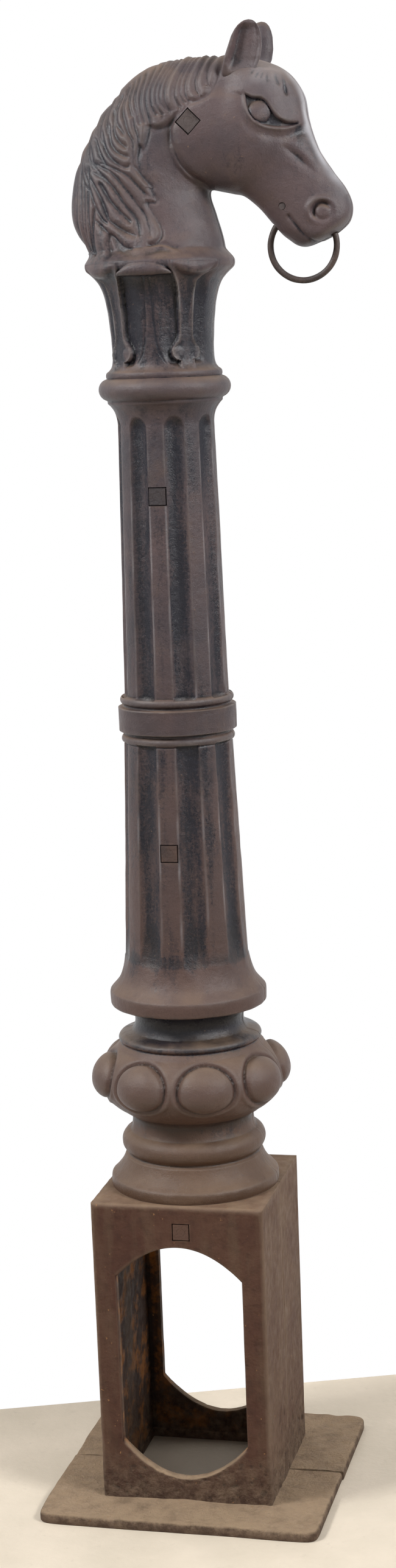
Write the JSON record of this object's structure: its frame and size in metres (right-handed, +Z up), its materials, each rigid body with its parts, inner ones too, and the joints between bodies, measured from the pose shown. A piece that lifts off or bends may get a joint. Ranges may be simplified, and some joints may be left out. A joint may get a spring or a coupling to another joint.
{
  "type": "hitching post",
  "caption": "Cast iron hitching post: horse head on a fluted column over an open arched plinth and flat base plate, with a loose tie ring hanging in the muzzle.",
  "frame": {"origin": "centre of the base plate, on the floor", "axes": "+Z up the column, +X the way the horse looks, the castings part on Y = 0"},
  "size_m": [0.3774, 0.332, 1.657],
  "materials": {
    "casting": "worn dark paint over brown iron",
    "plinth": "red brown rust and dust",
    "fastener": "rusted wrought iron",
    "ring": "dark wrought iron"
  },
  "bodies": {
    "post": {"right_head_half": "casting", "left_head_half": "casting", "right_column_half": "casting", "left_column_half": "casting", "right_plinth_half": "plinth", "left_plinth_half": "plinth", "cheek_bolt": "fastener", "upper_shaft_bolt": "fastener", "lower_shaft_bolt": "fastener", "plinth_bolt": "fastener", "cheek_nut": "fastener", "upper_shaft_nut": "fastener", "lower_shaft_nut": "fastener", "plinth_nut": "fastener", "mouth_rivet": "fastener"},
    "ring": {"hitching_ring": "ring"}
  },
  "joints": [
    {"name": "ring_swing", "type": "hinge", "parent": "post", "child": "ring", "pos_m": [0.1619, 0, 1.43294], "axis": [0.9816, 0, -0.1908], "range_deg": [-25, 25]}
  ]
}
